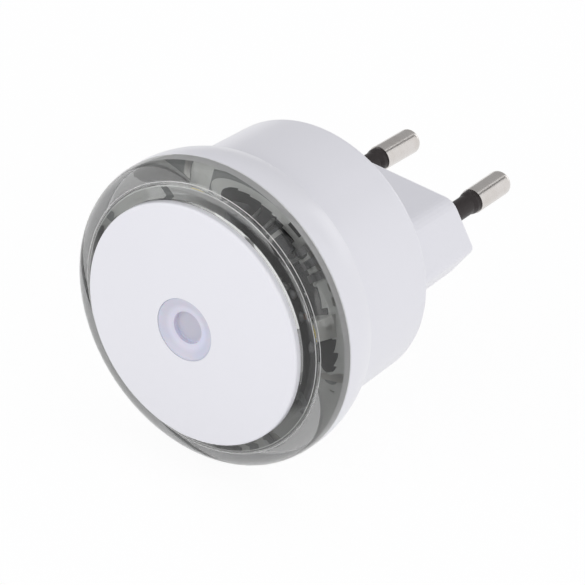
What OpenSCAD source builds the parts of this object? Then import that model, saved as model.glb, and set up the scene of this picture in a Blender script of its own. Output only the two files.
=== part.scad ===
// Plug-in night light: a round lamp that hangs on a two-pin mains plug.
// The origin is the centre of the plug face, between the pins. The pins point along +Y into the
// wall, the lamp looks along -Y, and +Z is up. Sizes are in millimetres.

/* [Plug pins] */
// Length of a pin past the plug face
pin_len = 19; // [18.4:0.2:19.4]
// Diameter of the bare metal end of a pin
pin_d = 4; // [3.94:0.02:4.06]
// Distance between the pins at the plug face
pin_pitch = 18.6; // [18:0.2:19]
// Distance between the pins at their tips
tip_pitch = 17.5; // [17:0.1:18]
// Radius of the rounded edge of a pin's tip
tip_round = 1.1; // [0.5:0.1:1.5]
// Diameter of a pin's core inside its sleeve
core_d = 2.4; // [2:0.1:2.6]
// Diameter of the head that stops a pin inside the boss
head_d = 5.2; // [4.8:0.1:5.6]
// Thickness of a pin's head
head_t = 1.6; // [1.2:0.1:2]
// Length of the solder cup behind a pin's head
tail_len = 5; // [4.2:0.2:5.6]
// Diameter of the solder cup
tail_d = 2.6; // [2.4:0.1:2.8]

/* [Insulating sleeves] */
// Length of a sleeve past the plug face
sleeve_len = 10.8; // [10:0.2:11.4]
// Diameter of a sleeve's waist
sleeve_d = 3.2; // [3:0.05:3.4]
// Diameter of the lip at a sleeve's outer end
lip_d = 3.66; // [3.6:0.02:3.68]
// Length of the lip, flare included
lip_len = 1.6; // [1.2:0.1:2.2]

/* [Plug boss] */
// Length of the boss, from the plug face to the body's back
boss_len = 16.4; // [15.6:0.2:17.4]
// Width of the plug face over its side corners
boss_w = 35.3; // [34.7:0.1:35.9]
// Width of the flats above and below
boss_flat = 26.1; // [25.5:0.1:26.7]
// Height of the plug face
boss_h = 13.7; // [13.3:0.1:14.1]
// Draft of the boss, in degrees
boss_draft = 2.4; // [1:0.2:3]
// Radius of the corners beside the flats
flat_corner_r = 3; // [2:0.25:4]
// Radius of the two side corners
side_corner_r = 0.9; // [0.6:0.1:1.4]
// Radius of the rounded edge round the plug face
face_edge_r = 0.45; // [0.2:0.05:0.8]
// Wall of the boss
boss_wall = 1.8; // [1.4:0.1:2.1]
// Thickness of the wall that carries the pins
end_wall = 3; // [2.6:0.1:3.4]

/* [Body and collar] */
// Length of the body behind the collar
body_len = 17.2; // [16:0.2:20]
// How much the body's radius shrinks from the collar to its back
body_taper = 0.78; // [0.4:0.02:0.9]
// Radius of the rounded edge round the body's back
back_edge_r = 0.9; // [0.5:0.1:1.2]
// Wall of the body
body_wall = 1.8; // [1.5:0.1:2.1]
// Thickness of the body's back wall
floor_t = 2; // [1.6:0.1:2.4]
// Width of the step from the body out to the collar's back edge
shoulder_w = 1.52; // [1.2:0.02:1.8]
// How far the collar's back edge lies inside its front
collar_drop = 1.65; // [1.3:0.05:1.9]
// Length of the collar
collar_len = 7.2; // [6.8:0.1:8]
// Length of the collar's straight front land
land_len = 0.5; // [0.3:0.1:0.8]
// Radius of the rounded edge at the collar's back
ledge_round = 0.35; // [0.2:0.05:0.6]
// Radius of the edges that meet where the ring joins the collar
seam_round = 0.12; // [0.05:0.01:0.2]
// Number of stiffening ribs inside the body
rib_count = 6; // [4:1:8]
// Thickness of a rib
rib_t = 1.2; // [0.8:0.1:1.5]
// Height of a rib above the wall
rib_h = 1.1; // [0.7:0.1:1.5]

/* [Clear ring] */
// Outer radius of the ring and of the collar's front
ring_r = 25.1; // [24.9:0.05:25.5]
// Length of the ring in front of the collar
ring_len = 5.55; // [5.4:0.05:6.2]
// Radius of the ring's rounded front
ring_round = 5; // [4.6:0.1:5.2]
// Thickness of the ring over the lit chamber, and of its root in the collar
ring_wall = 2.1; // [1.9:0.05:2.3]
// Wall of the ring at the front of the lit chamber, where its slanted inside ends
chamber_wall = 3.5; // [3:0.05:3.8]
// Radius of the inside corner of the lit chamber
chamber_round = 0.2; // [0.1:0.05:0.4]
// Wall of the spigot that enters the collar
spigot_t = 1; // [0.8:0.05:1.1]
// Thickness of the flange that carries the cover
flange_t = 1.1; // [0.9:0.05:1.3]
// Width of the ring's face beside the cover
ring_face_w = 5.3; // [5.1:0.05:5.6]
// Width of the flange's seat under the cover
seat_flange_w = 2.6; // [2:0.1:3]

/* [Front cover] */
// How far the cover's rim stands in front of the ring
rim_proud = 0.95; // [0.5:0.05:1.2]
// Height of the dome above its rim
dome_rise = 2.05; // [1.6:0.05:2.6]
// Wall of the cover
cover_t = 1.6; // [1.3:0.1:1.9]
// Radius of the rim's rounded edge
rim_round = 0.4; // [0.2:0.05:0.5]
// Thickness of the cover's skirt and snap legs
skirt_t = 1.2; // [1:0.1:1.5]
// Depth of the skirt below the cover's seat
skirt_len = 0.9; // [0.5:0.1:1.1]
// Number of snap legs
snap_count = 4; // [3:1:6]
// Angle that one snap leg spans, in degrees
snap_arc = 34; // [20:2:44]
// How far a snap barb reaches past the opening
barb_reach = 0.6; // [0.4:0.05:0.8]
// Height of a snap barb
barb_h = 1.1; // [0.8:0.1:1.3]

/* [Light sensor] */
// Radius of the window in the middle of the cover
window_r = 5.15; // [4.9:0.05:5.4]
// Wall of the barrel behind the window
barrel_t = 1.25; // [1:0.05:1.5]
// Depth of the lens, front to back
lens_t = 2.5; // [2.3:0.1:2.7]
// Depth of the lens's dished face
dish_depth = 0.7; // [0.5:0.05:0.9]
// Radius of the well in the middle of the dish
well_r = 2.65; // [2.3:0.05:3]
// Depth of the well below the dish
well_depth = 0.75; // [0.5:0.05:0.9]
// How far the lens sits below the cover's face
lens_sink = 0.12; // [0.05:0.01:0.2]
// Diameter of the photocell
cell_d = 5.1; // [4.8:0.1:5.3]
// Thickness of the photocell
cell_t = 2; // [1.8:0.1:2.2]
// Wall of the black sensor tube
tube_t = 1.5; // [1.2:0.1:1.6]

/* [Circuit board] */
// Thickness of the board
board_t = 1.6; // [1.2:0.1:1.7]
// Depth of the board's back below the collar's front
board_depth = 3; // [2.8:0.1:3.2]
// Width of the ledge under the board's edge
seat_w = 0.9; // [0.7:0.1:1.1]
// Distance of a board screw from the middle
screw_y = 13; // [12.6:0.1:13.6]
// Diameter of a board pillar
pillar_d = 5.5; // [5:0.1:5.9]
// Diameter of the board screws' shank
board_screw_d = 2.2; // [2:0.1:2.4]
// Length of a board screw below the board
board_screw_len = 7; // [5:0.5:8]
// Diameter of the component leads
lead_d = 0.6; // [0.5:0.05:0.7]
// Number of lamps on the board
led_count = 4; // [3:1:4]
// Distance of a lamp's middle from the board's edge
led_edge = 3.45; // [3:0.05:4]
// Distance of a diode's middle from the board's edge
diode_edge = 3.15; // [2.8:0.05:3.4]
// Distance of a chip resistor's middle from the board's edge
chip_edge = 1.85; // [1.5:0.05:2]

/* [Components] */
// Length of the film capacitor
film_len = 13; // [11.5:0.5:14]
// Width of the film capacitor
film_w = 6; // [5:0.5:7]
// Height of the film capacitor
film_h = 11; // [9:0.5:13]
// Diameter of the electrolytic capacitor
can_d = 6.3; // [5.5:0.1:6.8]
// Length of the electrolytic capacitor
can_len = 11.5; // [9:0.5:13]
// Diameter of a wire-ended resistor
resistor_d = 2; // [1.8:0.1:2.2]
// Length of a wire-ended resistor, end beads left out
resistor_len = 3.6; // [3:0.1:4.2]
// Diameter of a diode
diode_d = 2.3; // [2:0.1:2.5]
// Length of a diode
diode_len = 4.2; // [3.6:0.1:4.6]
// Diameter of the transistor
transistor_d = 4.8; // [4.4:0.1:5]
// Height of the transistor
transistor_h = 4.6; // [4:0.1:5]
// Diameter of the supply wires over their insulation
wire_d = 1.6; // [1.2:0.1:1.8]
// Diameter of the supply wires' bare conductor
conductor_d = 0.9; // [0.7:0.1:1]

/* [Pin clamp] */
// Thickness of the clamp plate over the pin heads
clamp_t = 1.6; // [1.4:0.1:2]
// Height of the clamp plate
clamp_h = 8.2; // [7.6:0.2:8.4]
// Clearance between the clamp plate's corners and the boss
clamp_gap = 0.4; // [0.2:0.05:0.6]
// Diameter of the two posts that carry the clamp plate
post_d = 4.2; // [3.8:0.1:4.4]
// Clearance between a post and a pin's head
post_gap = 0.6; // [0.3:0.05:0.8]
// Diameter of the clamp screws' shank
clamp_screw_d = 1.9; // [1.7:0.1:2.1]
// Length of a clamp screw below the clamp plate
clamp_screw_len = 2.8; // [2.2:0.1:3]

/* [Fits] */
// Radial clearance of pieces that slot together
fit_gap = 0.1; // [0.06:0.02:0.14]
// Clearance round the board
board_gap = 0.25; // [0.15:0.05:0.35]
// Clearance round a lead or a screw in its hole in the board
hole_gap = 0.15; // [0.1:0.05:0.2]
// Clearance between the board's pillars and the capacitors
part_gap = 0.85; // [0.5:0.05:1]

/* [Hidden] */
$fn = 96;

// Heights, measured forward from the plug face
floor_z = boss_len + floor_t;
ledge_z = boss_len + body_len;
border_z = ledge_z + collar_len;
bulge_z = border_z - land_len;
board_back_z = border_z - board_depth;
board_front_z = board_back_z + board_t;
ring_front_z = border_z + ring_len;
crown_z = ring_front_z - ring_round;
flange_z = ring_front_z - ring_wall;
seat_z = flange_z + flange_t;
barb_z = flange_z - fit_gap;
rim_z = ring_front_z + rim_proud;
dome_z = rim_z + dome_rise;

// Radii that follow from the ring's and from the fits
ledge_r = ring_r - collar_drop;
back_r = ledge_r - shoulder_w - body_taper;
cover_r = ring_r - ring_face_w;
opening_r = cover_r - seat_flange_w;
ring_in_r = ring_r - ring_wall;
chamber_r = ring_r - chamber_wall;
mouth_r = ring_in_r + spigot_t + fit_gap;
board_r = ring_in_r - board_gap;
seat_r = board_r - seat_w;
skirt_r = opening_r - fit_gap;
lens_r = window_r - fit_gap;
dome_r = (cover_r * cover_r + dome_rise * dome_rise) / (2 * dome_rise);
bulge_len = bulge_z - ledge_z;
bulge_r = (bulge_len * bulge_len + collar_drop * collar_drop) / (2 * collar_drop);
bulge_in_r = ring_r - bulge_r;
ledge_round_z = ledge_z + ledge_round;
ledge_round_at = bulge_in_r + sqrt(pow(bulge_r - ledge_round, 2) - pow(bulge_z - ledge_round_z, 2));
ledge_blend_z = micron(bulge_z - (bulge_z - ledge_round_z) * bulge_r / (bulge_r - ledge_round));

// Light sensor
lip_t = 0.8;
lip_reach = 0.7;
lens_edge_w = 0.15;
barrel_drop = 1.9;
tube_gap = 0.3;
cell_sink = 0.2;
tube_r = cell_d / 2 + fit_gap + tube_t;
lens_top_z = dome_height(window_r) - lens_sink;
lens_back_z = lens_top_z - lens_t;
lens_rim_r = lens_r - lens_edge_w;
dish_r = sphere_through(lens_rim_r, well_r, dish_depth);
barrel_back_z = seat_z - barrel_drop;
tube_top_z = lens_back_z - lip_t - tube_gap;
cell_top_z = tube_top_z - cell_sink;
cell_lead_x = 1.7;

// Pins, clamp and wires
pin_lean = asin((pin_pitch - tip_pitch) / 2 / pin_len);
head_z = end_wall + fit_gap;
clamp_z = head_z + head_t + fit_gap;
tail_z = head_z + head_t + tail_len;
slant = atan2(boss_h / 2, (boss_w - boss_flat) / 2);
clamp_w = boss_w - 2 * (boss_wall / sin(slant) + clamp_h / 2 / tan(slant) + clamp_gap);
post_x = pin_pitch / 2 - head_d / 2 - post_gap - post_d / 2;
wire_r = wire_d / 2;
conductor_r = conductor_d / 2;
wire_strip = 0.3;
wire_run = 0.5;
wire_bend_len = 9;
wire_sides = 12;
wire_rings = 12;
cup_r = 0.75;
cup_depth = 2;
wire_hole = [12.5, 3];

// Components on the board: shapes, and places as [x, y]
lead_r = lead_d / 2;
lead_hole_r = lead_r + hole_gap;
joint_r = 0.8;
joint_h = 0.8;
joint_bore_gap = 0.05;
lead_tail = 1.1;
lead_sunk = 0.1;
diode_angles = [57, 84, 237, 264];
diode_ring_r = board_r - diode_edge;
diode_span = 6.8;
diode_height = 1.6;
chip_angles = [49, 43, 37, 128, 134, 300];
chip_ring_r = board_r - chip_edge;
chip_size = [2, 1.25, 0.5];
led_start = 15;
led_ring_r = board_r - led_edge;
led_size = [2.8, 3.5, 1.9];
led_cup_r = 1.15;
led_cup_depth = 0.6;
phosphor_sink = 0.05;
pillar_edge_y = screw_y - pillar_d / 2 - part_gap;
film_at = [0, pillar_edge_y - film_w / 2];
film_span = 10;
can_at = [0, can_d / 2 - pillar_edge_y];
can_span = 3;
can_groove_r = 0.4;
can_groove_drop = 1.6;
bleeder_at = [-13.5, 6.5];
fuse_at = [13.5, -6.5];
resistor_span = 9.4;
resistor_height = 1.5;
bead_r = 1.2;
bead_overhang = 0.1;
bead_x = resistor_len / 2 + bead_overhang;
lead_bend_r = 0.9;
transistor_at = [10.8, 8];
transistor_pitch = 2;
transistor_flat = 1.4;
transistor_rise = 1.6;

diode_leads = [for (a = diode_angles, s = [-1, 1])
    [diode_ring_r * cos(a) - s * diode_span / 2 * sin(a),
     diode_ring_r * sin(a) + s * diode_span / 2 * cos(a)]];
cell_leads = [[-cell_lead_x, 0], [cell_lead_x, 0]];
back_leads = concat(
    [for (s = [-1, 1]) film_at + [s * film_span / 2, 0]],
    [for (s = [-1, 1]) can_at + [s * can_span / 2, 0]],
    [for (s = [-1, 1]) bleeder_at + [0, s * resistor_span / 2]],
    [for (s = [-1, 1]) fuse_at + [0, s * resistor_span / 2]],
    [for (i = [-1, 0, 1]) transistor_at + [0, i * transistor_pitch]]);
front_leads = concat(diode_leads, cell_leads);
wire_leads = [for (s = [-1, 1]) s * wire_hole];

// Length rounded to a micron, so that arcs and straights end at the same height
function micron(x) = round(x * 1000) / 1000;
// Radius of the body at a height
function body_r(z) = back_r + (z - boss_len) * body_taper / body_len;
// Height of the dome at a distance from the axis
function dome_height(r) = dome_z - dome_r + sqrt(dome_r * dome_r - r * r);
// Radius of the sphere that falls by d between the radii a and b
function sphere_through(a, b, d) =
    let (h = (a * a - b * b - d * d) / (2 * d)) sqrt(h * h + a * a);

// Turns the working frame, whose z runs forward from the plug face, into the part's frame
module forward() rotate([90, 0, 0]) children();

// Turned piece from a half profile drawn as [radius, height]
module turned(angle = 360) forward() rotate_extrude(angle = angle) children();

// Half section that reaches from the axis to r, between two heights
module slab(r, z0, z1) translate([0, z0]) square([r, z1 - z0]);

// Frame of one pin, leaning inward towards its tip; side is -1 or 1
module at_pin(side)
    translate([side * pin_pitch / 2, 0, 0]) rotate([0, side * pin_lean, 0]) children();

// Rod between two heights in the working frame
module rod(r, z0, z1) translate([0, 0, z0]) cylinder(r = r, h = z1 - z0);

// Outline of the boss at the plug face, drawn in by an inset
module boss_outline(inset = 0) {
    corner = max(flat_corner_r - inset, 0.5);
    side = max(side_corner_r - inset, 0.4);
    half_w = boss_w / 2 - inset / sin(slant);
    half_flat = boss_flat / 2 - inset * tan(slant / 2);
    half_h = boss_h / 2 - inset;
    hull() for (sx = [-1, 1]) {
        for (sy = [-1, 1])
            translate([sx * (half_flat - corner * tan(slant / 2)), sy * (half_h - corner)])
                circle(r = corner, $fn = 32);
        translate([sx * (half_w - side / sin(slant)), 0]) circle(r = side, $fn = 32);
    }
}

// Thin slice of the drafted boss at a height, drawn in by an inset
module boss_slice(inset, z) translate([0, 0, z]) linear_extrude(height = 0.01)
    boss_outline(inset - z * tan(boss_draft));

// Outside of the boss, with its edge round the plug face rounded in two steps
module boss_outside(height) hull() {
    for (a = [0, 45]) boss_slice(face_edge_r * (1 - sin(a)), face_edge_r * (1 - cos(a)));
    for (z = [face_edge_r, height]) boss_slice(0, z);
}

// Tapered hollow of the boss, up from the plug face
module boss_hollow(height) {
    grow = 2 * height * tan(boss_draft);
    linear_extrude(height = height, scale = [1 + grow / boss_w, 1 + grow / boss_h], slices = 1)
        boss_outline(boss_wall);
}

// Half section of the body and the collar, solid to the axis
module housing_section() {
    edge_r = back_r - back_edge_r;
    slab(edge_r, boss_len, boss_len + back_edge_r);
    intersection() {
        translate([edge_r, boss_len + back_edge_r]) circle(r = back_edge_r);
        slab(back_r, boss_len, boss_len + back_edge_r);
    }
    polygon([[0, boss_len + back_edge_r], [back_r, boss_len + back_edge_r],
             [body_r(ledge_z), ledge_z], [0, ledge_z]]);
    slab(ledge_round_at, ledge_z, border_z);
    intersection() {
        translate([ledge_round_at, ledge_round_z]) circle(r = ledge_round, $fn = 32);
        slab(ring_r, ledge_z, ledge_blend_z);
    }
    intersection() {
        translate([bulge_in_r, bulge_z]) circle(r = bulge_r, $fn = 180);
        slab(ring_r, ledge_blend_z, bulge_z);
    }
    slab(ring_r, bulge_z, border_z - seam_round);
    slab(ring_r - seam_round, bulge_z, border_z);
    translate([ring_r - seam_round, border_z - seam_round]) circle(r = seam_round, $fn = 32);
}

// Half section of the space inside the body and the collar
module hollow_section() {
    step_z = ledge_z + body_wall;
    polygon([[0, floor_z], [body_r(floor_z) - body_wall, floor_z],
             [body_r(step_z) - body_wall, step_z], [seat_r, step_z], [seat_r, board_back_z],
             [mouth_r, board_back_z], [mouth_r, border_z + 1], [0, border_z + 1]]);
}

// Stiffening ribs and the pillars that carry the board
module board_supports() {
    rib_in_r = body_r(floor_z) - body_wall - rib_h;
    rib_out_r = rib_in_r + rib_h + body_wall / 2;
    rib_len = ledge_z - floor_z - 0.5;
    translate([0, 0, floor_z - 0.5]) {
        for (i = [0 : rib_count - 1]) rotate([0, 0, (i + 0.5) * 360 / rib_count])
            translate([rib_in_r, -rib_t / 2, 0]) cube([rib_out_r - rib_in_r, rib_t, rib_len]);
        for (a = [90, 270]) rotate([0, 0, a])
            translate([screw_y, -rib_t / 2, 0]) cube([rib_out_r - screw_y, rib_t, rib_len]);
    }
    for (s = [-1, 1])
        translate([0, s * screw_y, 0]) rod(pillar_d / 2, floor_z - 0.5, board_back_z);
}

// One moulding: collar, body and hexagonal boss, hollow, with the pin holes and the pillars
module rear_housing() color([0.87, 0.87, 0.91]) forward() {
    difference() {
        union() {
            difference() {
                union() {
                    rotate_extrude() housing_section();
                    boss_outside(boss_len + floor_t / 2);
                }
                rotate_extrude() hollow_section();
                intersection() {
                    boss_hollow(floor_z + 1);
                    translate([-boss_w, -boss_h, end_wall])
                        cube([2 * boss_w, 2 * boss_h, floor_z]);
                }
            }
            board_supports();
            for (s = [-1, 1])
                translate([s * post_x, 0, 0]) rod(post_d / 2, end_wall - 0.5, clamp_z);
        }
        for (s = [-1, 1]) {
            at_pin(s) rod(sleeve_d / 2 + fit_gap, -1, end_wall + 1);
            translate([0, s * screw_y, 0]) rod(board_screw_d / 2 + fit_gap / 2,
                board_back_z - board_screw_len - 1.5, board_back_z + 1);
            translate([s * post_x, 0, 0])
                rod(clamp_screw_d / 2 + fit_gap / 2, end_wall / 2, clamp_z + 1);
        }
    }
}

// Clear light ring: quarter-round front, flange for the cover, spigot into the collar
module clear_ring() color([0.75, 0.76, 0.78, 0.45]) turned() {
    difference() {
        union() {
            slab(ring_r, border_z + seam_round, crown_z);
            slab(ring_r - seam_round, border_z, crown_z);
            translate([ring_r - seam_round, border_z + seam_round])
                circle(r = seam_round, $fn = 32);
            slab(ring_r - ring_round, crown_z, ring_front_z);
            intersection() {
                translate([ring_r - ring_round, crown_z]) circle(r = ring_round, $fn = 120);
                slab(ring_r, crown_z, ring_front_z);
            }
        }
        slab(ring_in_r, border_z - 1, border_z);
        polygon([[0, border_z - 1], [ring_in_r, border_z],
                 [chamber_r, flange_z - chamber_round], [0, flange_z - chamber_round]]);
        slab(chamber_r - chamber_round, border_z - 1, flange_z);
        translate([chamber_r - chamber_round, flange_z - chamber_round])
            circle(r = chamber_round, $fn = 32);
        slab(opening_r, border_z - 1, ring_front_z + 1);
        slab(cover_r + fit_gap, seat_z, ring_front_z + 1);
    }
    translate([ring_in_r, board_back_z + fit_gap])
        square([spigot_t, board_depth - fit_gap]);
}

// Half section of the cover: dome, rolled rim, skirt with its barb, barrel for the light sensor
module cover_section() difference() {
    union() {
        intersection() {
            translate([0, dome_z - dome_r]) circle(r = dome_r, $fn = 360);
            slab(cover_r - rim_round, seat_z, dome_z + 1);
        }
        slab(cover_r, seat_z, dome_height(cover_r - rim_round) - rim_round);
        translate([cover_r - rim_round, dome_height(cover_r - rim_round) - rim_round])
            circle(r = rim_round);
        slab(skirt_r, barb_z - barb_h, seat_z);
        polygon([[skirt_r, barb_z - barb_h], [opening_r + barb_reach, barb_z], [skirt_r, barb_z]]);
        slab(window_r + barrel_t, barrel_back_z, seat_z);
    }
    difference() {
        intersection() {
            translate([0, dome_z - dome_r]) circle(r = dome_r - cover_t, $fn = 360);
            slab(skirt_r - skirt_t, barb_z - barb_h - 1, dome_z);
        }
        slab(window_r + barrel_t, barrel_back_z, dome_z);
    }
    slab(window_r, lens_back_z, dome_z + 1);
    slab(window_r - lip_reach, lens_back_z - lip_t - 1, dome_z);
    slab(tube_r + fit_gap, barrel_back_z - 1, lens_back_z - lip_t);
}

// Domed front cover; gaps cut in its skirt leave the snap legs that catch behind the flange
module front_cover() color([0.91, 0.91, 0.94]) forward() difference() {
    rotate_extrude() cover_section();
    for (i = [0 : snap_count - 1])
        rotate([0, 0, i * 360 / snap_count + snap_arc / 2])
            rotate_extrude(angle = 360 / snap_count - snap_arc)
                translate([skirt_r - skirt_t - 0.5, barb_z - barb_h - 1])
                    square([skirt_t + barb_reach + 1.5, barb_h + 1 + seat_z - skirt_len - barb_z]);
}

// Translucent lens: a dished face with a well in the middle
module sensor_lens() color([0.82, 0.82, 0.88, 0.85]) turned() difference() {
    slab(lens_r, lens_back_z, lens_top_z);
    translate([0, lens_top_z + sqrt(dish_r * dish_r - lens_rim_r * lens_rim_r)])
        intersection() {
            circle(r = dish_r, $fn = 180);
            translate([0, -dish_r - 1]) square([lens_rim_r, dish_r + 1]);
        }
    slab(well_r, lens_top_z - dish_depth - well_depth, lens_top_z);
}

// Black tube that keeps the lamps' own light away from the photocell
module sensor_tube() color([0.12, 0.12, 0.13]) turned()
    translate([cell_d / 2 + fit_gap, board_front_z])
        square([tube_t, tube_top_z - board_front_z]);

// Photocell: a round cell on two leads through the board
module photocell() color([0.75, 0.45, 0.3]) forward() {
    rod(cell_d / 2, cell_top_z - cell_t, cell_top_z);
    for (p = cell_leads) translate(p)
        rod(lead_r, board_back_z - lead_tail, cell_top_z - cell_t + 0.1);
}

// Round board on the collar's ledge, drilled for its screws, leads and wires
module circuit_board() color([0.8, 0.81, 0.8]) forward() difference() {
    rod(board_r, board_back_z, board_front_z);
    for (p = concat(front_leads, back_leads)) translate(p)
        rod(lead_hole_r, board_back_z - 1, board_front_z + 1);
    for (p = wire_leads) translate(p)
        rod(conductor_r + hole_gap, board_back_z - 1, board_front_z + 1);
    for (s = [-1, 1]) translate([0, s * screw_y, 0])
        rod(board_screw_d / 2 + hole_gap, board_back_z - 1, board_front_z + 1);
}

// Pan-head screw that points away from the front, its head seated at z = 0
module pan_screw(shank_d, length) {
    head_r = shank_d * 0.95;
    head_h = shank_d * 0.65;
    slot_w = shank_d * 0.22;
    difference() {
        union() {
            intersection() {
                cylinder(r = head_r, h = head_h);
                translate([0, 0, head_h - 2 * head_r]) sphere(r = 2 * head_r);
            }
            translate([0, 0, -length]) cylinder(r = shank_d / 2, h = length);
        }
        for (a = [0, 90]) rotate([0, 0, a])
            translate([-head_r * 0.6, -slot_w / 2, head_h * 0.5])
                cube([head_r * 1.2, slot_w, head_h]);
    }
}

// Two screws that hold the board on its pillars
module board_screws() color([0.72, 0.72, 0.74]) forward()
    for (s = [-1, 1]) translate([0, s * screw_y, board_front_z])
        pan_screw(board_screw_d, board_t + board_screw_len);

// Places the lamps round the board
module each_led() for (i = [0 : led_count - 1])
    rotate([0, 0, led_start + i * 360 / led_count]) translate([led_ring_r, 0, board_front_z])
        children();

// White lamp bodies with a round cup each
module leds() color([0.93, 0.93, 0.9]) forward() each_led() difference() {
    translate([-led_size.x / 2, -led_size.y / 2, 0]) cube(led_size);
    rod(led_cup_r, led_size.z - led_cup_depth, led_size.z + 1);
}

// Yellow phosphor that fills the cups
module led_phosphor() color([0.93, 0.8, 0.3]) forward() each_led()
    rod(led_cup_r, led_size.z - led_cup_depth, led_size.z - phosphor_sink);

// Part with wire ends, lying along x at height z above the board: body, two bent leads
module axial_part(body_d, body_len, span, z) {
    bend_x = span / 2 - lead_bend_r;
    start_x = body_len / 2 - lead_sunk;
    translate([-body_len / 2, 0, z]) rotate([0, 90, 0]) cylinder(d = body_d, h = body_len);
    for (side = [0, 1]) mirror([side, 0, 0]) {
        translate([start_x, 0, z]) rotate([0, 90, 0]) cylinder(r = lead_r, h = bend_x - start_x);
        translate([bend_x, 0, z - lead_bend_r]) rotate([90, 0, 0])
            rotate_extrude(angle = 90) translate([lead_bend_r, 0]) circle(r = lead_r, $fn = 32);
        translate([span / 2, 0, 0]) rod(lead_r, -board_t - lead_tail, z - lead_bend_r);
    }
}

// Four diodes of the bridge rectifier, along the board's edge
module rectifier_diodes() color([0.1, 0.1, 0.11]) forward()
    for (a = diode_angles) rotate([0, 0, a]) translate([diode_ring_r, 0, board_front_z])
        rotate([0, 0, 90]) axial_part(diode_d, diode_len, diode_span, diode_height);

// Flat chip resistors near the board's edge
module chip_resistors() color([0.14, 0.14, 0.15]) forward()
    for (a = chip_angles) rotate([0, 0, a])
        translate([chip_ring_r, 0, board_front_z + chip_size.z / 2])
            cube(chip_size, center = true);

// Film capacitor that drops the mains voltage, behind the board
module dropper_capacitor() color([0.75, 0.2, 0.15]) forward() translate(film_at) {
    translate([-film_len / 2, -film_w / 2, board_back_z - film_h])
        cube([film_len, film_w, film_h]);
    for (s = [-1, 1]) translate([s * film_span / 2, 0, 0])
        rod(lead_r, board_back_z - lead_sunk, board_front_z + lead_tail);
}

// Electrolytic capacitor, behind the board
module smoothing_capacitor() color([0.12, 0.16, 0.3]) forward() translate(can_at) {
    difference() {
        rod(can_d / 2, board_back_z - can_len, board_back_z);
        rotate_extrude() translate([can_d / 2, board_back_z - can_groove_drop])
            circle(r = can_groove_r, $fn = 32);
    }
    for (s = [-1, 1]) translate([s * can_span / 2, 0, 0])
        rod(lead_r, board_back_z - lead_sunk, board_front_z + lead_tail);
}

// Resistor that lies along y behind the board
module back_resistor(at) translate([at.x, at.y, board_back_z]) mirror([0, 0, 1])
    rotate([0, 0, 90]) {
        axial_part(resistor_d, resistor_len, resistor_span, resistor_height);
        for (s = [-1, 1]) translate([s * bead_x, 0, resistor_height]) sphere(r = bead_r);
    }

// Resistor that empties the film capacitor
module bleeder_resistor() color([0.78, 0.68, 0.5]) forward() back_resistor(bleeder_at);

// Resistor that limits the inrush and blows as a fuse
module fuse_resistor() color([0.35, 0.5, 0.6]) forward() back_resistor(fuse_at);

// Small transistor with a flat side, that switches the lamps
module transistor() color([0.1, 0.1, 0.1]) forward() translate(transistor_at) {
    top_z = board_back_z - transistor_rise;
    intersection() {
        rod(transistor_d / 2, top_z - transistor_h, top_z);
        translate([-transistor_flat, -transistor_d, top_z - transistor_h - 1])
            cube([2 * transistor_d, 2 * transistor_d, transistor_h + 2]);
    }
    for (i = [-1, 0, 1]) translate([0, i * transistor_pitch, 0])
        rod(lead_r, top_z - lead_sunk, board_front_z + lead_tail);
}

// Cone of solder round a lead or a wire, standing on z = 0
module joint(hole_r) difference() {
    cylinder(r1 = joint_r, r2 = joint_r * 0.55, h = joint_h);
    rod(hole_r + joint_bore_gap, -1, joint_h + 1);
}

// Solder joints on both faces of the board
module solder_joints() color([0.78, 0.78, 0.8]) forward() {
    for (p = back_leads) translate([p.x, p.y, board_front_z]) joint(lead_r);
    for (p = wire_leads) translate([p.x, p.y, board_front_z]) joint(conductor_r);
    for (p = front_leads) translate([p.x, p.y, board_back_z]) mirror([0, 0, 1]) joint(lead_r);
}

// Ring of points round a wire's path, whose tangent leans from z towards x by an angle
function wire_ring(x, z, lean) = [for (i = [0 : wire_sides - 1])
    let (a = 360 * i / wire_sides)
        [x + wire_r * cos(a) * cos(lean), wire_r * sin(a), z - wire_r * cos(a) * sin(lean)]];

// Tube in the xz plane that steps sideways by reach in a smooth S between two straight ends
module wire_tube(reach, z0, bend_z, z1) {
    rings = concat([wire_ring(0, z0, 0)],
        [for (i = [0 : wire_rings])
            let (t = i / wire_rings, slope = 6 * t * (1 - t) * reach / wire_bend_len)
                wire_ring(reach * t * t * (3 - 2 * t), bend_z + t * wire_bend_len, atan(slope))],
        [wire_ring(reach, z1, 0)]);
    last = len(rings) - 1;
    polyhedron(points = [for (r = rings) each r],
        faces = concat([[for (i = [0 : wire_sides - 1]) i]],
            [for (k = [0 : last - 1], i = [0 : wire_sides - 1])
                let (a = k * wire_sides, j = (i + 1) % wire_sides)
                    [a + i, a + wire_sides + i, a + wire_sides + j, a + j]],
            [[for (i = [wire_sides - 1 : -1 : 0]) last * wire_sides + i]]));
}

// Insulated wire from a pin's solder cup to the board
module supply_wire(side) forward() {
    start = [side * (pin_pitch / 2 + tail_z * tan(pin_lean)), 0];
    run = side * wire_hole - start;
    reach = norm(run);
    translate(start) rotate([0, 0, atan2(run.y, run.x)]) {
        rod(conductor_r, tail_z - cup_depth + wire_strip, tail_z + 1);
        wire_tube(reach, tail_z + wire_strip, tail_z + wire_strip + wire_run,
            board_back_z - joint_h - wire_strip);
        translate([reach, 0, 0])
            rod(conductor_r, board_back_z - joint_h - 1, board_front_z + lead_tail);
    }
}
module live_wire() color([0.45, 0.25, 0.15]) supply_wire(1);
module neutral_wire() color([0.2, 0.35, 0.7]) supply_wire(-1);

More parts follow.
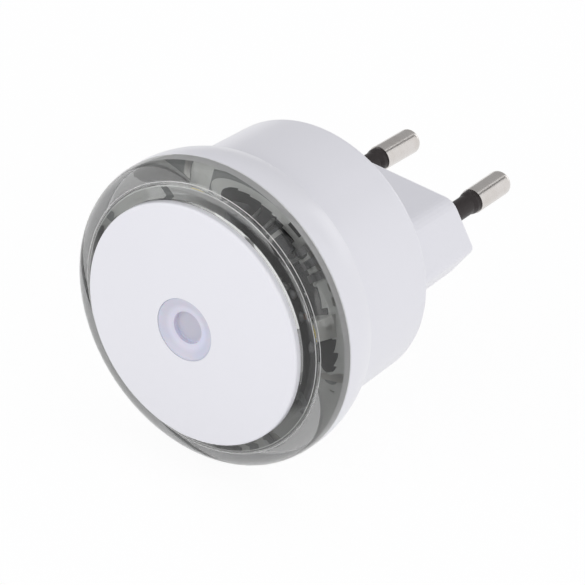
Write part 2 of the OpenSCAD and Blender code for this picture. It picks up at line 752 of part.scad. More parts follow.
// Plug pin: rounded tip, bare end, thin core, head and solder cup, turned in one piece
module plug_pin(side) color([0.72, 0.7, 0.68]) forward() at_pin(side) difference() {
    union() {
        rotate_extrude() {
            slab(pin_d / 2 - tip_round, -pin_len, -pin_len + tip_round);
            intersection() {
                translate([pin_d / 2 - tip_round, -pin_len + tip_round]) circle(r = tip_round);
                slab(pin_d / 2, -pin_len, -pin_len + tip_round);
            }
            slab(pin_d / 2, -pin_len + tip_round, -sleeve_len);
        }
        rod(core_d / 2, -sleeve_len - 0.1, head_z + 0.1);
        rod(head_d / 2, head_z, head_z + head_t);
        rod(tail_d / 2, head_z + head_t - 0.1, tail_z);
    }
    rod(cup_r, tail_z - cup_depth, tail_z + 1);
}
module pin_left() plug_pin(-1);
module pin_right() plug_pin(1);

// Black insulating sleeve with a flared lip against the bare end of the pin
module pin_sleeve(side) color([0.13, 0.12, 0.12]) forward() at_pin(side) difference() {
    union() {
        rod(sleeve_d / 2, -sleeve_len + lip_len, end_wall);
        translate([0, 0, -sleeve_len + lip_len / 2])
            cylinder(r1 = lip_d / 2, r2 = sleeve_d / 2, h = lip_len / 2);
        rod(lip_d / 2, -sleeve_len, -sleeve_len + lip_len / 2);
    }
    rod(core_d / 2 + fit_gap / 2, -sleeve_len - 1, end_wall + 1);
}
module pin_sleeve_left() pin_sleeve(-1);
module pin_sleeve_right() pin_sleeve(1);

// Clamp plate that holds both pin heads down on the end wall
module pin_clamp() color([0.9, 0.9, 0.9]) forward() difference() {
    translate([-clamp_w / 2, -clamp_h / 2, clamp_z]) cube([clamp_w, clamp_h, clamp_t]);
    for (s = [-1, 1]) {
        at_pin(s) rod(tail_d / 2 + 2 * fit_gap, clamp_z - 1, clamp_z + clamp_t + 1);
        translate([s * post_x, 0, 0])
            rod(clamp_screw_d / 2 + fit_gap, clamp_z - 1, clamp_z + clamp_t + 1);
    }
}

// Two screws that hold the clamp plate
module clamp_screws() color([0.72, 0.72, 0.74]) forward()
    for (s = [-1, 1]) translate([s * post_x, 0, clamp_z + clamp_t])
        pan_screw(clamp_screw_d, clamp_t + clamp_screw_len);

rear_housing();
clear_ring();
front_cover();
sensor_lens();
sensor_tube();
photocell();
circuit_board();
board_screws();
leds();
led_phosphor();
rectifier_diodes();
chip_resistors();
dropper_capacitor();
smoothing_capacitor();
bleeder_resistor();
fuse_resistor();
transistor();
solder_joints();
live_wire();
neutral_wire();
pin_left();
pin_right();
pin_sleeve_left();
pin_sleeve_right();
pin_clamp();
clamp_screws();
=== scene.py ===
import bpy
import bmesh
import math
from mathutils import Matrix, Vector


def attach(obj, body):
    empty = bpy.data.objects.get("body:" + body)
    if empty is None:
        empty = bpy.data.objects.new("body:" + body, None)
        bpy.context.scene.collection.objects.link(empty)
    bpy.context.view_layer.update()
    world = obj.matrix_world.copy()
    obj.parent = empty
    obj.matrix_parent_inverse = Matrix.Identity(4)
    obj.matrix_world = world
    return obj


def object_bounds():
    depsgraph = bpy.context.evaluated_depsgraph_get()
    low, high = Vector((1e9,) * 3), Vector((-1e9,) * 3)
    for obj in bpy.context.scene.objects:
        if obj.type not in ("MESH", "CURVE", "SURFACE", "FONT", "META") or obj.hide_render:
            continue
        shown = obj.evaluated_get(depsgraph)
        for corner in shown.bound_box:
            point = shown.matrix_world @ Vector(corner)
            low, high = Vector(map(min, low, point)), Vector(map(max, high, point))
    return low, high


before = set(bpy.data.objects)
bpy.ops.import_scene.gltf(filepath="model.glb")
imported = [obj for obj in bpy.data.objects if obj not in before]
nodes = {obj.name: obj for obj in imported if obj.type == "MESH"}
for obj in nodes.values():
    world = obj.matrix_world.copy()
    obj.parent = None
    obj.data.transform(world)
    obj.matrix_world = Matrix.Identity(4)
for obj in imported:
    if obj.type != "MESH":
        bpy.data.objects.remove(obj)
cadBox = [list(corner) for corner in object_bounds()]
scene = bpy.context.scene
print("night light: frame loaded,", len(nodes), "nodes")


# camera at the photograph's angle

cameraView = {
    "azimuth": 35.35, "elevation": 32.04, "roll": 4.74,  # degrees
    "distance": 1.5, "lens": 614.9, "sensor": 36, "clip": (0.1, 50),
    "slideX": -0.0151, "slideY": 0.0049,  # metres across the picture
    "target": (0, -0.04735, 0),
}


def addCamera(view):
    azimuth, elevation, roll = (math.radians(view[k]) for k in ("azimuth", "elevation", "roll"))
    back = Vector((math.sin(azimuth) * math.cos(elevation),
                   -math.cos(azimuth) * math.cos(elevation), math.sin(elevation)))
    level = Vector((0, 0, 1)).cross(back).normalized()
    upright = back.cross(level)
    right = level * math.cos(roll) + upright * math.sin(roll)
    up = upright * math.cos(roll) - level * math.sin(roll)
    place = (Vector(view["target"]) + back * view["distance"]
             - right * view["slideX"] + up * view["slideY"])
    data = bpy.data.cameras.new("photoCamera")
    data.lens, data.sensor_width, data.sensor_fit = view["lens"], view["sensor"], "HORIZONTAL"
    data.clip_start, data.clip_end = view["clip"]
    camera = bpy.data.objects.new("photoCamera", data)
    turn = Matrix((right, up, back)).transposed().to_4x4()
    camera.matrix_world = Matrix.Translation(place) @ turn
    scene.collection.objects.link(camera)
    scene.camera = camera


addCamera(cameraView)


# node helpers

mixSockets = {"factor": 0, "first": 6, "second": 7, "result": 2}  # of a Mix node set to colours


def addNode(tree, kind, inputs=None, **settings):
    node = tree.nodes.new(kind)
    for key, value in settings.items():
        setattr(node, key, value)
    for key, value in (inputs or {}).items():
        if isinstance(value, bpy.types.NodeSocket):
            tree.links.new(value, node.inputs[key])
        else:
            node.inputs[key].default_value = value
    return node


def mathNode(tree, operation, first, second=0.0, clamp=False):
    return addNode(tree, "ShaderNodeMath", {0: first, 1: second},
                   operation=operation, use_clamp=clamp).outputs[0]


def noiseNode(tree, place, scale, detail, roughness=0.5):
    return addNode(tree, "ShaderNodeTexNoise", {
        "Vector": place, "Scale": scale, "Detail": detail, "Roughness": roughness}).outputs["Fac"]


def fadeNode(tree, value, start, end, curve="LINEAR"):  # 0 at the start, 1 at the end
    return addNode(tree, "ShaderNodeMapRange", {
        "Value": value, "From Min": start, "From Max": end}, interpolation_type=curve).outputs[0]


def mixColours(tree, factor, first, second, blend="MIX"):
    inputs = {mixSockets["factor"]: factor}
    for side, colour in (("first", first), ("second", second)):
        linked = isinstance(colour, bpy.types.NodeSocket)
        inputs[mixSockets[side]] = colour if linked else (*colour, 1)
    node = addNode(tree, "ShaderNodeMix", inputs, data_type="RGBA", blend_type=blend)
    return node.outputs[mixSockets["result"]]


def objectPlace(tree):  # the surface point, whole and as its X, Y and Z
    place = addNode(tree, "ShaderNodeTexCoord").outputs["Object"]
    return place, addNode(tree, "ShaderNodeSeparateXYZ", {0: place}).outputs


def axisReach(tree, parts):  # distance from the lamp's axis
    across = addNode(tree, "ShaderNodeCombineXYZ", {0: parts["X"], 1: parts["Z"]}).outputs[0]
    return addNode(tree, "ShaderNodeVectorMath", {0: across}, operation="LENGTH").outputs["Value"]


def fillRamp(node, stops):  # position and colour of each stop, in order
    ramp = node.color_ramp
    for index, (position, colour) in enumerate(stops):
        stop = ramp.elements[index] if index < 2 else ramp.elements.new(position)
        stop.position, stop.color = position, (*colour, 1)
    return node.outputs[0]


def newGroup(name, inputs, outputs):
    group = bpy.data.node_groups.new(name, "ShaderNodeTree")
    for title, kind, value in inputs:
        socket = group.interface.new_socket(name=title, in_out="INPUT",
                                            socket_type="NodeSocket" + kind)
        socket.default_value = (*value, 1) if kind == "Color" else value
    for title, kind in outputs:
        group.interface.new_socket(name=title, in_out="OUTPUT", socket_type="NodeSocket" + kind)
    return group, group.nodes.new("NodeGroupInput").outputs, group.nodes.new("NodeGroupOutput")


def fillOutputs(group, outputNode, **values):
    for title, socket in values.items():
        group.links.new(socket, outputNode.inputs[title])


# shared finishes

def mouldedGroup():  # plastic, lacquer and rubber: cloudy tone, fine grain
    group, given, out = newGroup("mouldedFinish", [
        ("Colour", "Color", (0.8, 0.8, 0.8)), ("Mottle", "Float", 0.03),
        ("Mottle Size", "Float", 0.012), ("Grain Size", "Float", 0.0004),
        ("Roughness", "Float", 0.3), ("Spread", "Float", 0.05),
    ], [("Colour", "Color"), ("Roughness", "Float"), ("Height", "Float")])
    place = addNode(group, "ShaderNodeTexCoord").outputs["Object"]
    cloudScale = mathNode(group, "DIVIDE", 1.0, given["Mottle Size"])
    grainScale = mathNode(group, "DIVIDE", 1.0, given["Grain Size"])
    cloud = noiseNode(group, place, cloudScale, detail=3.0, roughness=0.55)
    grain = noiseNode(group, place, grainScale, detail=2.0, roughness=0.6)
    drift = mathNode(group, "SUBTRACT", cloud, 0.5)  # the noise swings about its middle
    shade = mathNode(group, "ADD", mathNode(group, "MULTIPLY", drift, given["Mottle"]), 1.0)
    tinted = addNode(group, "ShaderNodeVectorMath", {0: given["Colour"], "Scale": shade},
                     operation="SCALE").outputs[0]
    rough = mathNode(group, "ADD", given["Roughness"],
                     mathNode(group, "MULTIPLY", drift, given["Spread"]))
    fillOutputs(group, out, Colour=tinted, Roughness=rough, Height=grain)
    return group


turnedWear = {"from": 0.45, "to": 0.75}  # noise level where wear starts and where it is full


def turnedGroup():  # turned metal: rings of tool marks along Y, worn patches
    group, given, out = newGroup("turnedFinish", [
        ("Colour", "Color", (0.7, 0.7, 0.7)), ("Worn", "Color", (0.6, 0.6, 0.6)),
        ("Mark Size", "Float", 0.0003), ("Patch Size", "Float", 0.004),
        ("Roughness", "Float", 0.25), ("Spread", "Float", 0.1),
    ], [("Colour", "Color"), ("Roughness", "Float"), ("Height", "Float")])
    place, parts = objectPlace(group)
    along = mathNode(group, "DIVIDE", parts["Y"], given["Mark Size"])
    marks = addNode(group, "ShaderNodeTexNoise", {"W": along, "Scale": 1.0, "Detail": 2.0},
                    noise_dimensions="1D").outputs["Fac"]
    patchScale = mathNode(group, "DIVIDE", 1.0, given["Patch Size"])
    patch = noiseNode(group, place, patchScale, detail=4.0)
    worn = fadeNode(group, patch, turnedWear["from"], turnedWear["to"])
    colour = mixColours(group, worn, given["Colour"], given["Worn"])
    swing = mathNode(group, "SUBTRACT", marks, 0.5)
    rough = mathNode(group, "ADD", given["Roughness"],
                     mathNode(group, "MULTIPLY", swing, given["Spread"]))
    fillOutputs(group, out, Colour=colour, Roughness=rough, Height=marks)
    return group


def weaveGroup():  # laminate: crossed threads under a mask
    group, given, out = newGroup("glassWeave", [
        ("Mask Colour", "Color", (0.6, 0.6, 0.6)), ("Fibre Colour", "Color", (0.5, 0.5, 0.4)),
        ("Thread Size", "Float", 0.0006), ("Blotch Scale", "Float", 320.0),
        ("Show", "Float", 0.3),
    ], [("Colour", "Color"), ("Height", "Float")])
    place, parts = objectPlace(group)
    pitch = mathNode(group, "DIVIDE", math.pi, given["Thread Size"])
    warp = mathNode(group, "SINE", mathNode(group, "MULTIPLY", parts["X"], pitch))
    weft = mathNode(group, "SINE", mathNode(group, "MULTIPLY", parts["Z"], pitch))
    both = mathNode(group, "MULTIPLY", warp, weft)
    cross = mathNode(group, "ADD", mathNode(group, "MULTIPLY", both, 0.5), 0.5, clamp=True)
    blotch = noiseNode(group, place, given["Blotch Scale"], detail=3.0)
    amount = mathNode(group, "MULTIPLY", mathNode(group, "MULTIPLY", cross, blotch), given["Show"])
    fillOutputs(group, out, Height=cross,
                Colour=mixColours(group, amount, given["Mask Colour"], given["Fibre Colour"]))
    return group


def bandsGroup():  # evenly spaced bands: which band, and whether on it
    group, given, out = newGroup("ringBands", [
        ("Along", "Float", 0.0), ("Start", "Float", 0.0), ("Pitch", "Float", 0.001),
        ("Width", "Float", 0.0004), ("Count", "Float", 3.0),
    ], [("Mask", "Float"), ("Number", "Float")])
    steps = mathNode(group, "DIVIDE", mathNode(group, "SUBTRACT", given["Along"], given["Start"]),
                     given["Pitch"])
    number = mathNode(group, "FLOOR", steps)
    share = mathNode(group, "DIVIDE", given["Width"], given["Pitch"])
    inBand = mathNode(group, "LESS_THAN", mathNode(group, "FRACT", steps), share)
    fromStart = mathNode(group, "GREATER_THAN", steps, 0.0)
    lastNumber = mathNode(group, "SUBTRACT", given["Count"], 0.5)
    beforeEnd = mathNode(group, "LESS_THAN", number, lastNumber)
    mask = mathNode(group, "MULTIPLY", inBand, mathNode(group, "MULTIPLY", fromStart, beforeEnd))
    fillOutputs(group, out, Mask=mask, Number=number)
    return group


moulded, turned, weave, bands = mouldedGroup(), turnedGroup(), weaveGroup(), bandsGroup()


def newMaterial(name, **plain):
    material = bpy.data.materials.new(name)
    material.use_nodes = True
    tree = material.node_tree
    shader = tree.nodes["Principled BSDF"]
    for title, value in plain.items():
        shader.inputs[title].default_value = value
    return material, tree, shader


def placeGroup(tree, group, **values):
    node = addNode(tree, "ShaderNodeGroup", node_tree=group)
    for title, value in values.items():
        socket = node.inputs[title.replace("_", " ")]
        if isinstance(value, bpy.types.NodeSocket):
            tree.links.new(value, socket)
        elif socket.type == "RGBA":
            socket.default_value = (*value, 1)
        else:
            socket.default_value = value
    return node.outputs


def addBump(tree, shader, height, depth):
    bump = addNode(tree, "ShaderNodeBump", {"Height": height, "Strength": 1.0, "Distance": depth})
    tree.links.new(bump.outputs["Normal"], shader.inputs["Normal"])


def linkFinish(tree, shader, finish, depth):
    tree.links.new(finish["Colour"], shader.inputs["Base Color"])
    tree.links.new(finish["Roughness"], shader.inputs["Roughness"])
    addBump(tree, shader, finish["Height"], depth)


mouldedBasis = {  # what a look leaves out
    "shader": {}, "mottle": 0.04, "mottleSize": 0.01, "spread": 0.06,
    "grainSize": 0.0003, "grainDepth": 0.000002,
}


def startMoulded(name, look):
    look = {**mouldedBasis, **look}
    material, tree, shader = newMaterial(name, **look["shader"])
    finish = placeGroup(tree, moulded, Colour=look["colour"], Mottle=look["mottle"],
                        Mottle_Size=look["mottleSize"], Grain_Size=look["grainSize"],
                        Roughness=look["roughness"], Spread=look["spread"])
    linkFinish(tree, shader, finish, look["grainDepth"])
    return material, tree, shader, finish


def mouldedMaterial(name, look):
    return startMoulded(name, look)[0]


def metalMaterial(name, look):
    material, tree, shader = newMaterial(name, Metallic=1.0)
    finish = placeGroup(tree, turned, Colour=look["colour"], Worn=look["worn"],
                        Mark_Size=look["markSize"], Patch_Size=look["patchSize"],
                        Roughness=look["roughness"], Spread=look["spread"])
    linkFinish(tree, shader, finish, look["markDepth"])
    return material


def bareMetal(tree, shader, bare, painted, metal):  # metal where the mask is 1
    tree.links.new(mixColours(tree, bare, painted, metal), shader.inputs["Base Color"])
    tree.links.new(bare, shader.inputs["Metallic"])


def dress(material, *names):
    for name in names:
        for place in nodes[name].material_slots:
            place.material = material


print("night light: shared finishes made")


# housing, cover and clamp plate

whitePlastic = {
    "colour": (0.86, 0.858, 0.895), "roughness": 0.3, "mottle": 0.02, "mottleSize": 0.02,
    "grainSize": 0.0005, "grainDepth": 0.0000015, "spread": 0.05,
}
clampPlastic = {"colour": (0.78, 0.78, 0.77), "roughness": 0.45, "grainDepth": 0.000004}

dress(mouldedMaterial("whitePlastic", whitePlastic), "rear_housing", "front_cover")
dress(mouldedMaterial("clampPlastic", clampPlastic), "pin_clamp")


# clear ring

clearRing = {
    "shader": {"IOR": 1.49, "Transmission Weight": 1.0},
    "colour": (0.86, 0.865, 0.86), "roughness": 0.015, "mottle": 0.02, "spread": 0.02,
    "grainSize": 0.004, "grainDepth": 0.000004,  # a slow ripple
    "shadowTint": (0.97, 0.97, 0.97),
}


def clearMaterial(look):
    material, tree, shader, _ = startMoulded("clearPlastic", look)
    path = addNode(tree, "ShaderNodeLightPath").outputs
    clear = addNode(tree, "ShaderNodeBsdfTransparent", {"Color": (*look["shadowTint"], 1)})
    mix = addNode(tree, "ShaderNodeMixShader", {
        0: path["Is Shadow Ray"], 1: shader.outputs[0], 2: clear.outputs[0]})
    tree.links.new(mix.outputs[0], tree.nodes["Material Output"].inputs["Surface"])
    return material


dress(clearMaterial(clearRing), "clear_ring")
print("night light: housing, cover and ring finished")


# light sensor

sensorLens = {
    "shader": {"Subsurface Weight": 0.2, "Subsurface Scale": 0.0008, "IOR": 1.49},
    "colour": (0.64, 0.63, 0.72), "roughness": 0.3, "mottle": 0.05, "mottleSize": 0.003,
    # cool patches spread at random over the lens: a painted bluish reflection
    "cool": (0.60, 0.62, 0.76), "coolScale": 260.0, "coolFrom": 0.45, "coolTo": 0.8,
    "paintedShading": [  # distance from the middle, and how light the milky plastic is painted there: painted shade darkens the well, and the band round the well is lighter
        (0.0, 0.89), (0.0022, 0.90), (0.0027, 1.14), (0.0033, 1.15), (0.0040, 1.02), (0.005, 1.03)],
}


def lensMaterial(look):
    material, tree, shader, finish = startMoulded("lensPlastic", look)
    place, parts = objectPlace(tree)
    # random cool patches: painted bluish reflection
    patch = noiseNode(tree, place, look["coolScale"], detail=1.0)
    soft = fadeNode(tree, patch, look["coolFrom"], look["coolTo"])
    colour = mixColours(tree, soft, finish["Colour"], look["cool"])
    # painted shade in the well, by distance from the axis
    edge = look["paintedShading"][-1][0]
    ramp = addNode(tree, "ShaderNodeValToRGB", {
        0: mathNode(tree, "DIVIDE", axisReach(tree, parts), edge)})
    shade = fillRamp(ramp, [(reach / edge, (level,) * 3) for reach, level in look["paintedShading"]])
    tree.links.new(mixColours(tree, 1.0, colour, shade, "MULTIPLY"), shader.inputs["Base Color"])
    return material


photocell = {"body": (0.62, 0.36, 0.22), "track": (0.30, 0.28, 0.24), "roughness": 0.35,
             "lanePitch": 0.0009, "bodyShare": 0.55, "relief": 0.00001,
             "wave": 0.00035, "waveLength": 0.0024}


def photocellMaterial(look):
    material, tree, shader = newMaterial("cellCeramic", Roughness=look["roughness"])
    parts = objectPlace(tree)[1]
    turn = mathNode(tree, "DIVIDE", parts["X"], look["waveLength"] / math.tau)
    sway = mathNode(tree, "MULTIPLY", mathNode(tree, "SINE", turn), look["wave"])
    lane = mathNode(tree, "DIVIDE", mathNode(tree, "ADD", parts["Z"], sway), look["lanePitch"])
    mask = mathNode(tree, "GREATER_THAN", mathNode(tree, "FRACT", lane), look["bodyShare"])
    tree.links.new(mixColours(tree, mask, look["body"], look["track"]), shader.inputs["Base Color"])
    addBump(tree, shader, mask, look["relief"])
    return material


sensorTube = {"colour": (0.025, 0.025, 0.026), "roughness": 0.7, "grainDepth": 0.000006}

dress(lensMaterial(sensorLens), "sensor_lens")
dress(mouldedMaterial("blackRubber", sensorTube), "sensor_tube")
dress(photocellMaterial(photocell), "photocell")
print("night light: light sensor finished")


# plug pins, sleeves, screws and solder

pinMetal = {"colour": (0.70, 0.67, 0.65), "worn": (0.62, 0.58, 0.55), "roughness": 0.2,
            "spread": 0.12, "markSize": 0.00022, "markDepth": 0.0000015, "patchSize": 0.003}
sleevePlastic = {"shader": {"Specular IOR Level": 0.35},
                 "colour": (0.024, 0.018, 0.018), "roughness": 0.40, "mottle": 0.1,
                 "grainSize": 0.0002, "grainDepth": 0.000003}
screwMetal = {"colour": (0.64, 0.64, 0.67), "worn": (0.55, 0.55, 0.54), "roughness": 0.32,
              "spread": 0.1, "markSize": 0.0003, "markDepth": 0.000002, "patchSize": 0.002}
solderTin = {"colour": (0.45, 0.45, 0.46), "worn": (0.36, 0.36, 0.37), "roughness": 0.45,
             "spread": 0.1, "markSize": 0.0008, "markDepth": 0.000004, "patchSize": 0.001}

dress(metalMaterial("nickelPlate", pinMetal), "pin_left", "pin_right")
dress(mouldedMaterial("sleeveBlack", sleevePlastic), "pin_sleeve_left", "pin_sleeve_right")
dress(metalMaterial("platedSteel", screwMetal), "board_screws", "clamp_screws")
dress(metalMaterial("solder", solderTin), "solder_joints")
print("night light: pins and sleeves finished")


# circuit board

boardLook = {
    "mask": (0.60, 0.61, 0.60), "fibre": (0.50, 0.51, 0.45), "roughness": 0.35,
    "thread": 0.0007, "blotchScale": 320.0, "show": 0.35, "depth": 0.000006,
    "patchEdge": 0.0002,
    "shadeAndLightPatches": [  # colour, outer radius, first and last angle, softness in degrees: painted shade under the cover on the right, then a painted pool of light on the upper left
        # painted shade where the cover shades the board
        ((0.09, 0.09, 0.092), 0.0191, -33, 79, 9),
        # painted light: a pale pool under the cover
        ((0.84, 0.85, 0.84), 0.0193, 92, 140, 5),
    ],
}


def boardMaterial(look):
    material, tree, shader = newMaterial("boardLaminate", Roughness=look["roughness"])
    finish = placeGroup(tree, weave, Mask_Colour=look["mask"], Fibre_Colour=look["fibre"],
                        Thread_Size=look["thread"], Blotch_Scale=look["blotchScale"],
                        Show=look["show"])
    parts = objectPlace(tree)[1]
    reach = axisReach(tree, parts)
    turn = mathNode(tree, "ARCTAN2", parts["Z"], parts["X"])
    colour, edge = finish["Colour"], look["patchEdge"]
    # painted shade and painted light laid over the laminate inside each patch
    for tint, radius, first, last, soft in look["shadeAndLightPatches"]:
        half, middle = math.radians(last - first) / 2, math.radians(last + first) / 2
        away = mathNode(tree, "ABSOLUTE", mathNode(tree, "SUBTRACT", turn, middle))
        within = fadeNode(tree, away, half + math.radians(soft), half, "SMOOTHSTEP")
        inside = fadeNode(tree, reach, radius + edge, radius - edge)
        colour = mixColours(tree, mathNode(tree, "MULTIPLY", within, inside), colour, tint)
    tree.links.new(colour, shader.inputs["Base Color"])
    addBump(tree, shader, finish["Height"], look["depth"])
    return material


dress(boardMaterial(boardLook), "circuit_board")


# lamps and chip resistors

ledBody = {"colour": (0.50, 0.50, 0.48), "roughness": 0.4}
phosphorLook = {"colour": (0.86, 0.70, 0.18), "roughness": 0.35, "grainDepth": 0.000008,
                "grainSize": 0.00015, "mottle": 0.12}
chipLook = {"colour": (0.17, 0.17, 0.175), "roughness": 0.4, "grainDepth": 0.000004,
            "cap": (0.55, 0.55, 0.56), "middle": 0.02065, "glazeHalf": 0.00052}


def chipMaterial(look):  # glaze in the middle, metal caps nearer to the axis and further out
    material, tree, shader, finish = startMoulded("chipGlaze", look)
    reach = axisReach(tree, objectPlace(tree)[1])
    away = mathNode(tree, "ABSOLUTE", mathNode(tree, "SUBTRACT", reach, look["middle"]))
    cap = mathNode(tree, "GREATER_THAN", away, look["glazeHalf"])
    bareMetal(tree, shader, cap, finish["Colour"], look["cap"])
    return material


dress(mouldedMaterial("ledBody", ledBody), "leds")
dress(mouldedMaterial("phosphor", phosphorLook), "led_phosphor")
dress(chipMaterial(chipLook), "chip_resistors")


# capacitors and transistor

leadTin = (0.62, 0.61, 0.60)
blackEpoxy = {"colour": (0.026, 0.026, 0.030), "roughness": 0.5, "grainDepth": 0.000006}
transistorCase = {**blackEpoxy, "bareFront": -0.0362}
filmCase = {"colour": (0.52, 0.07, 0.045), "roughness": 0.25, "grainDepth": 0.00001,
            "grainSize": 0.0015, "mottle": 0.12, "bareFront": -0.0376}
canSleeve = {"colour": (0.03, 0.045, 0.13), "stripe": (0.55, 0.57, 0.62), "roughness": 0.28,
             "halfTurn": 0.55, "centre": (0.0, -0.00625)}


def leadedMaterial(name, look, metal):  # bare in front of one depth, and behind another if given
    material, tree, shader, finish = startMoulded(name, look)
    depth = objectPlace(tree)[1]["Y"]
    bare = mathNode(tree, "LESS_THAN", depth, look["bareFront"])
    if "bareBack" in look:
        bareBack = mathNode(tree, "GREATER_THAN", depth, look["bareBack"])
        bare = mathNode(tree, "MAXIMUM", bare, bareBack)
    bareMetal(tree, shader, bare, finish["Colour"], metal)
    return material


def canMaterial(look):  # a pale stripe down one side
    material, tree, shader, finish = startMoulded("canSleeve", look)
    parts = objectPlace(tree)[1]
    side = mathNode(tree, "SUBTRACT", parts["X"], look["centre"][0])
    rise = mathNode(tree, "SUBTRACT", parts["Z"], look["centre"][1])
    angle = mathNode(tree, "ARCTAN2", side, mathNode(tree, "MULTIPLY", rise, -1.0))
    mask = mathNode(tree, "LESS_THAN", mathNode(tree, "ABSOLUTE", angle), look["halfTurn"])
    tree.links.new(mixColours(tree, mask, finish["Colour"], look["stripe"]),
                   shader.inputs["Base Color"])
    return material


dress(leadedMaterial("transistorCase", transistorCase, leadTin), "transistor")
dress(leadedMaterial("filmCase", filmCase, leadTin), "dropper_capacitor")
dress(canMaterial(canSleeve), "smoothing_capacitor")


# wire-ended resistors with their coloured bands

resistorBodies = {
    "bleeder_resistor": {
        "colour": (0.66, 0.54, 0.34), "roughness": 0.35, "middle": 0.0065,
        "codes": [(0.30, 0.10, 0.03), (0.02, 0.02, 0.02), (0.75, 0.55, 0.05), (0.55, 0.40, 0.12)]},
    "fuse_resistor": {
        "colour": (0.16, 0.33, 0.45), "roughness": 0.35, "middle": -0.0065,
        "codes": [(0.02, 0.02, 0.02), (0.30, 0.10, 0.03), (0.55, 0.02, 0.02), (0.55, 0.40, 0.12)]},
}
resistorBands = {"pitch": 0.001, "width": 0.00045, "leadFrom": 0.0026}


def resistorMaterial(name, look, layout):
    material, tree, shader, finish = startMoulded(name, look)
    rise = objectPlace(tree)[1]["Z"]
    count = len(look["codes"])
    start = look["middle"] - layout["pitch"] * count / 2 + layout["width"] / 2
    band = placeGroup(tree, bands, Along=rise, Start=start, Pitch=layout["pitch"],
                      Width=layout["width"], Count=float(count))
    ramp = addNode(tree, "ShaderNodeValToRGB", {
        0: mathNode(tree, "DIVIDE", mathNode(tree, "ADD", band["Number"], 0.5), float(count))})
    ramp.color_ramp.interpolation = "CONSTANT"
    code = fillRamp(ramp, [(index / count, tint) for index, tint in enumerate(look["codes"])])
    painted = mixColours(tree, band["Mask"], finish["Colour"], code)
    away = mathNode(tree, "ABSOLUTE", mathNode(tree, "SUBTRACT", rise, look["middle"]))
    bareMetal(tree, shader, mathNode(tree, "GREATER_THAN", away, layout["leadFrom"]),
              painted, leadTin)
    return material


for nodeName, look in resistorBodies.items():
    dress(resistorMaterial(nodeName + "Lacquer", look, resistorBands), nodeName)
print("night light: board parts finished")


# mesh helpers for the pieces that the scene adds

meshing = {
    "mergeDistance": 0.0000005, "sharpAngle": 35,  # metres, degrees
    "ringSteps": 240, "bandSteps": 32, "beadSteps": 10, "fewestSteps": 6, "degreesPerStep": 2,
}


def mergeDoubles(bm):
    bmesh.ops.remove_doubles(bm, verts=bm.verts[:], dist=meshing["mergeDistance"])


def meshObject(name, bm, material):
    mergeDoubles(bm)
    bmesh.ops.recalc_face_normals(bm, faces=bm.faces[:])
    mesh = bpy.data.meshes.new(name)
    bm.to_mesh(mesh)
    bm.free()
    for face in mesh.polygons:
        face.use_smooth = True
    mesh.set_sharp_from_angle(angle=math.radians(meshing["sharpAngle"]))
    piece = bpy.data.objects.new(name, mesh)
    scene.collection.objects.link(piece)
    mesh.materials.append(material)
    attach(piece, "root")
    return piece


def closedOutline(bm, points):
    verts = [bm.verts.new(point) for point in points]
    return verts + [bm.edges.new((verts[i - 1], verts[i])) for i in range(len(verts))]


def closedSpin(bm, outline, centre, axis, steps):
    bmesh.ops.spin(bm, geom=closedOutline(bm, outline), cent=centre, axis=axis,
                   angle=math.tau, steps=steps, use_merge=True)


def onRing(radius, angle, depth):  # degrees from +X towards +Z, depth in front of the plug face
    turn = math.radians(angle)
    return Vector((radius * math.cos(turn), -depth, radius * math.sin(turn)))


# rectifier diodes: black bodies on tinned leads, each with its pale band

diodeLook = {
    "angles": (57, 84, 237, 264), "ringRadius": 0.0196, "height": 0.041,
    "halfLength": 0.00212, "bodyRadius": 0.0015, "lead": (0.30, 0.30, 0.30),
    "bandFrom": 0.0009, "bandTo": 0.0016, "bandRadius": 0.001165, "bandDepth": 0.00005,
    "bandPaint": {"colour": (0.34, 0.34, 0.33), "roughness": 0.4},
}


def diodeMaterial(look):
    material, tree, shader, finish = startMoulded("diodeEpoxy", blackEpoxy)
    parts = objectPlace(tree)[1]

    def reachAlong(acrossX, acrossZ):
        return mathNode(tree, "ADD", mathNode(tree, "MULTIPLY", parts["X"], acrossX),
                        mathNode(tree, "MULTIPLY", parts["Z"], acrossZ))

    inBody = None
    for angle in look["angles"]:  # within half a length of a diode's middle, and out at its radius
        turn = math.radians(angle)
        run = mathNode(tree, "ABSOLUTE", reachAlong(-math.sin(turn), math.cos(turn)))
        out = reachAlong(math.cos(turn), math.sin(turn))
        near = mathNode(tree, "MULTIPLY", mathNode(tree, "LESS_THAN", run, look["halfLength"]),
                        mathNode(tree, "GREATER_THAN", out,
                                 look["ringRadius"] - look["bodyRadius"]))
        inBody = near if inBody is None else mathNode(tree, "MAXIMUM", inBody, near)
    bareMetal(tree, shader, mathNode(tree, "SUBTRACT", 1.0, inBody), finish["Colour"],
              look["lead"])
    return material


def diodeBands(look):
    bm = bmesh.new()
    lift = Vector((0, -1, 0))
    inner, outer = look["bandRadius"] - look["bandDepth"], look["bandRadius"]
    for angle in look["angles"]:
        turn = math.radians(angle)
        along = Vector((-math.sin(turn), 0, math.cos(turn)))
        middle = onRing(look["ringRadius"], angle, look["height"])
        outline = [middle + along * a + lift * r for a, r in (
            (look["bandFrom"], inner), (look["bandTo"], inner),
            (look["bandTo"], outer), (look["bandFrom"], outer))]
        closedSpin(bm, outline, middle, along, meshing["bandSteps"])
    band = meshObject("diodeBands", bm, mouldedMaterial("diodeBandPaint", look["bandPaint"]))


dress(diodeMaterial(diodeLook), "rectifier_diodes")
diodeBands(diodeLook)


# thin beads turned about the axis: round the lens, and pale beads at the corner of the ring's lit
# chamber that give its bright double line, a painted highlight

